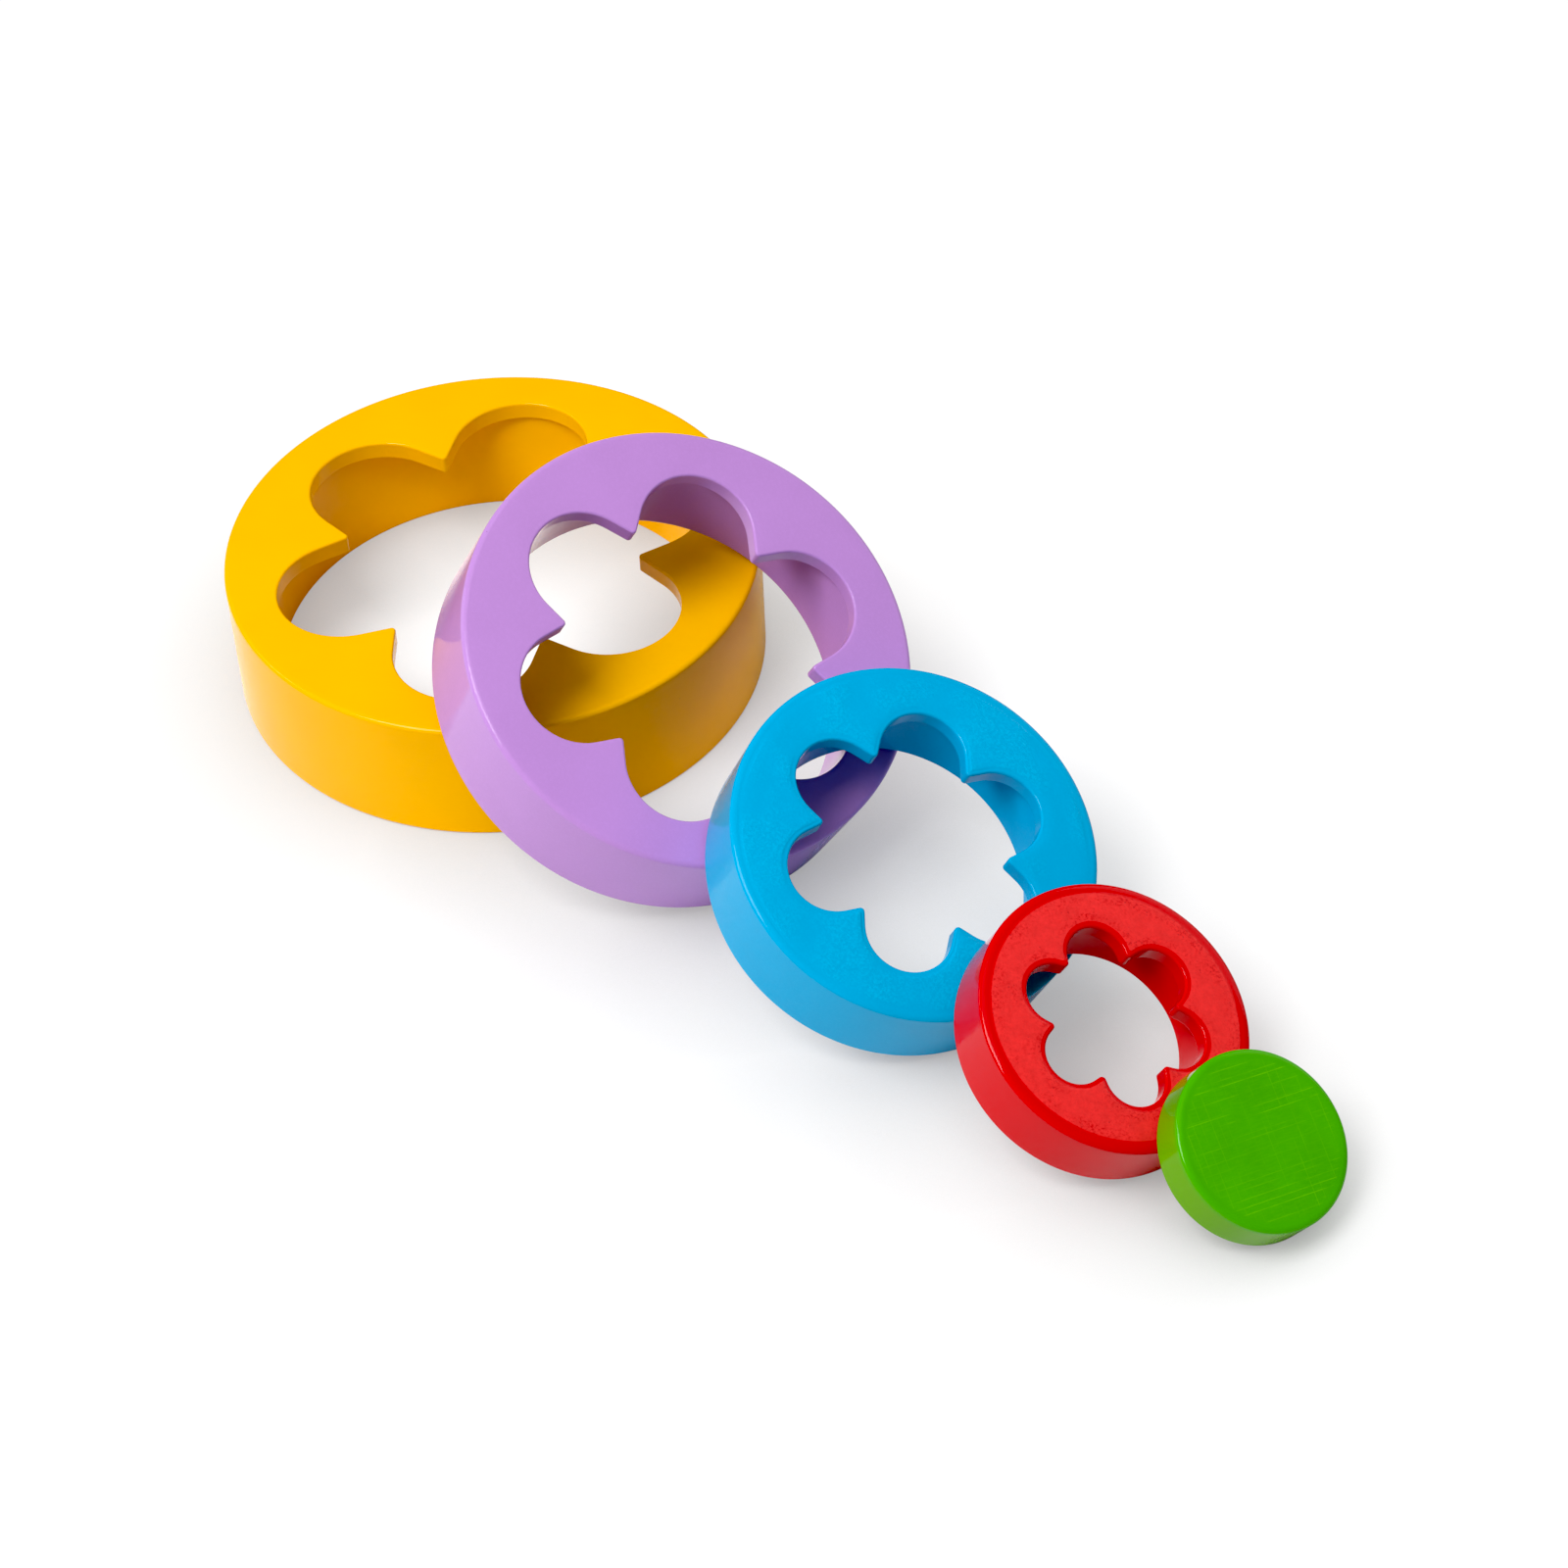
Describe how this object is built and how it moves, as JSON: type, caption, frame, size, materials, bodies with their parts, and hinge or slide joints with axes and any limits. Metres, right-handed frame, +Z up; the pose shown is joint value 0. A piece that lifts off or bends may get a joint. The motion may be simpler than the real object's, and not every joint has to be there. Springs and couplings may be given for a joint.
{
  "type": "stacking ring toy",
  "caption": "Loose wooden stacking rings with flower-shaped windows and a solid disc, tipped out in a row, each leaning on the larger one before it.",
  "frame": {"origin": "on the surface the toy lies on, below the middle of its bounding box", "axes": "+X runs along the row from the largest ring to the smallest piece, +Z is up"},
  "size_m": [0.3556, 0.1398, 0.0847],
  "materials": {
    "yellow_lacquer": "satin lacquer",
    "purple_lacquer": "satin lacquer",
    "blue_lacquer": "semi-gloss lacquer",
    "red_lacquer": "gloss lacquer",
    "green_lacquer": "gloss lacquer"
  },
  "bodies": {
    "yellow": {"yellow_ring": "yellow_lacquer"},
    "purple": {"purple_ring": "purple_lacquer"},
    "blue": {"blue_ring": "blue_lacquer"},
    "red": {"red_ring": "red_lacquer"},
    "green": {"green_disc": "green_lacquer"}
  },
  "joints": [
    {"name": "purple_ring_lift", "type": "slide", "parent": "yellow", "child": "purple", "axis": [0, 0, 1], "range_m": [0, 0.04]},
    {"name": "blue_ring_lift", "type": "slide", "parent": "purple", "child": "blue", "axis": [0, 0, 1], "range_m": [0, 0.09]},
    {"name": "red_ring_lift", "type": "slide", "parent": "blue", "child": "red", "axis": [0, 0, 1], "range_m": [0, 0.065]},
    {"name": "green_disc_lift", "type": "slide", "parent": "red", "child": "green", "axis": [0, 0, 1], "range_m": [0, 0.05]}
  ]
}
